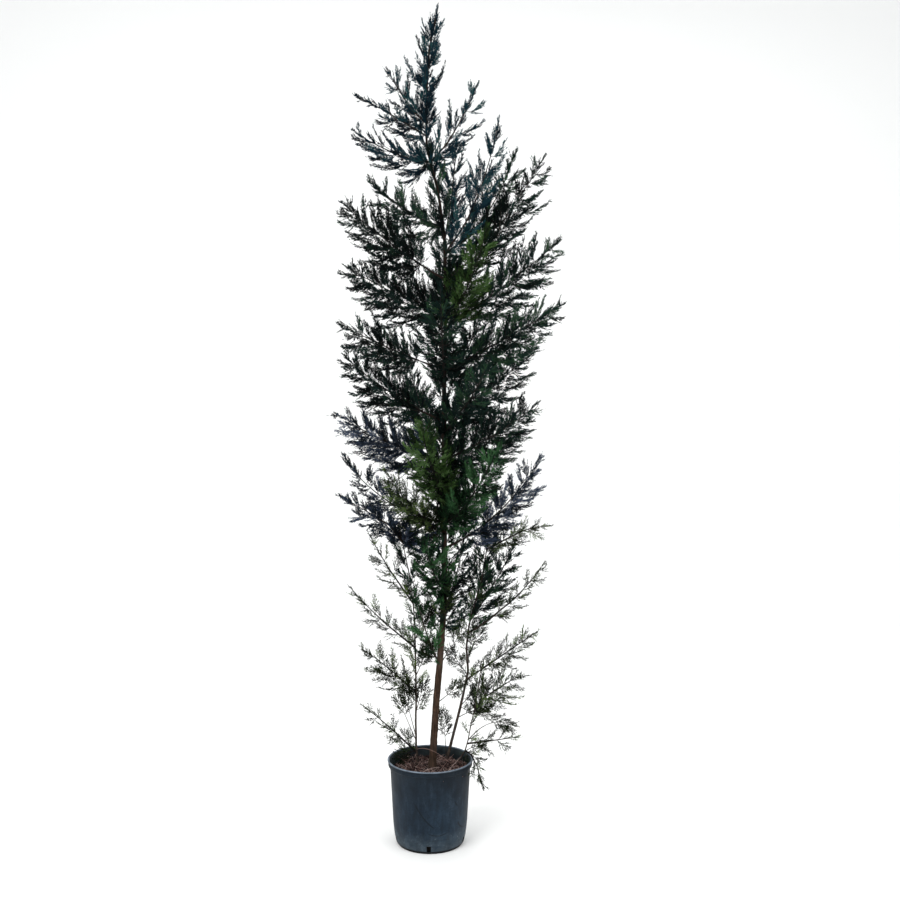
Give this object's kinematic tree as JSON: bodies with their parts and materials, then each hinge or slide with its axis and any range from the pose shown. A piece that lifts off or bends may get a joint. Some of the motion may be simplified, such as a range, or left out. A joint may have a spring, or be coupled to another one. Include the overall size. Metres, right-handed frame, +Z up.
{
  "type": "potted cypress tree",
  "caption": "Young cypress in a round nursery pot: a leaning trunk, slim basal stems, and a narrow crown of upswept plumes of scale-leaf sprays.",
  "frame": {"origin": "centre of the pot's flat underside", "axes": "+Z up the tree; +X to the right and -Y towards the viewer as the tree is usually seen"},
  "size_m": [0.7554, 0.6261, 2.8035],
  "materials": {
    "pot_plastic": "scuffed, moulded",
    "potting_compost": "rough, fibrous",
    "bark": "rough, fissured",
    "foliage_deep": "matte",
    "foliage_blue": "matte",
    "foliage_bright": "matte",
    "foliage_pale": "matte"
  },
  "bodies": {
    "root": {"back_1": "foliage_deep", "back_2": "foliage_deep", "back_3": "foliage_deep", "back_4": "foliage_deep", "bough_left_2": "bark", "bough_left_4": "bark", "bough_left_5": "bark", "bough_low_right_1": "bark", "bough_low_right_2": "bark", "bough_right_1": "bark", "bough_right_2": "bark", "bough_right_5": "bark", "crest_left": "foliage_deep", "crest_left_low": "foliage_deep", "crest_right": "foliage_deep", "front_1": "foliage_bright", "front_2": "foliage_deep", "front_3": "foliage_deep", "front_4": "foliage_bright", "front_5": "foliage_bright", "front_6": "foliage_bright", "front_left": "foliage_pale", "leader": "foliage_deep", "left_1": "foliage_deep", "left_2": "foliage_deep", "left_3": "foliage_deep", "left_4": "foliage_deep", "left_5": "foliage_deep", "left_6": "foliage_blue", "left_7": "foliage_blue", "left_8": "foliage_blue", "low_left_1": "foliage_pale", "low_left_2": "foliage_pale", "low_left_3": "foliage_pale", "low_left_4": "foliage_pale", "low_mid": "foliage_bright", "low_right_1": "foliage_pale", "low_right_2": "foliage_pale", "low_right_3": "foliage_pale", "low_right_4": "foliage_pale", "pot": "pot_plastic", "right_1": "foliage_deep", "right_2": "foliage_deep", "right_3": "foliage_deep", "right_4": "foliage_deep", "right_5": "foliage_blue", "right_6": "foliage_pale", "right_7": "foliage_deep", "right_8": "foliage_deep", "rim_sprig": "foliage_pale", "root_ball": "potting_compost", "shoulder_left": "foliage_deep", "shoulder_mid": "foliage_deep", "shoulder_right": "foliage_deep", "stem_far_right": "bark", "stem_left": "bark", "stem_right": "bark", "trunk": "bark", "wing_inner": "foliage_deep", "wing_right": "foliage_deep"}
  },
  "joints": []
}
